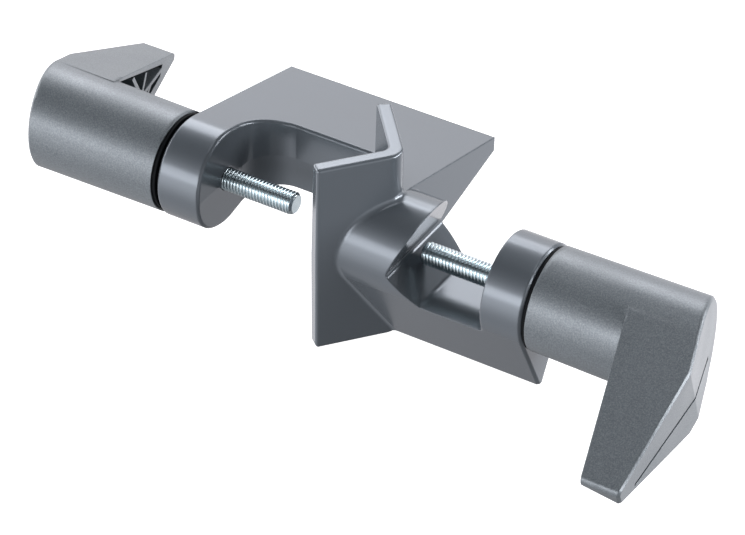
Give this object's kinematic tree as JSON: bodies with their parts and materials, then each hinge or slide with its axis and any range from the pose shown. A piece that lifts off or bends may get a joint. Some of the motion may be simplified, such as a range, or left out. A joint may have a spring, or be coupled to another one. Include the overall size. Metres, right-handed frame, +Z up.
{
  "type": "double boss clamp",
  "caption": "Clamp that joins a rod to a stand tube at right angles: V-plate jaw, notched jaw and lever-handled clamping screws in a die-cast body.",
  "frame": {"origin": "where the common screw axis crosses the axis of the largest stand tube seated in the V plate", "axes": "+X along the screw axis from the stand-tube jaw to the rod jaw, +Y to the closed back of the stand-tube jaw, +Z up along the stand tube"},
  "size_m": [0.2587, 0.1239, 0.0712],
  "materials": {
    "painted_casting": "semi-gloss grey powder coat on a die casting",
    "handle_plastic": "coarse spark-eroded texture, grey glass-filled plastic",
    "zinc_steel": "bright zinc plate on a rolled thread",
    "ring_plastic": "smooth black plastic"
  },
  "bodies": {
    "casting": {"clamp_body": "painted_casting"},
    "left_slip": {"left_ring": "ring_plastic"},
    "left_screw": {"left_handle": "handle_plastic", "left_spindle": "zinc_steel"},
    "right_slip": {"right_ring": "ring_plastic"},
    "right_screw": {"right_handle": "handle_plastic", "right_spindle": "zinc_steel"}
  },
  "joints": [
    {"name": "left_travel", "type": "slide", "parent": "casting", "child": "left_slip", "axis": [-1, 0, 0], "range_m": [-0.00105, 0.02705]},
    {"name": "left_turn", "type": "hinge", "parent": "left_slip", "child": "left_screw", "pos_m": [-0.05835, 0, 0], "axis": [-1, 0, 0], "range_deg": [-300, 7776]},
    {"name": "right_travel", "type": "slide", "parent": "casting", "child": "right_slip", "axis": [1, 0, 0], "range_m": [-0.00009, 0.03037]},
    {"name": "right_turn", "type": "hinge", "parent": "right_slip", "child": "right_screw", "pos_m": [0.08305, 0, 0], "axis": [1, 0, 0], "range_deg": [-25, 8740]}
  ],
  "couplings": [
    {"joint": "left_travel", "follows": "left_turn", "m_per_rad": 0.00019894},
    {"joint": "right_travel", "follows": "right_turn", "m_per_rad": 0.00019894}
  ]
}
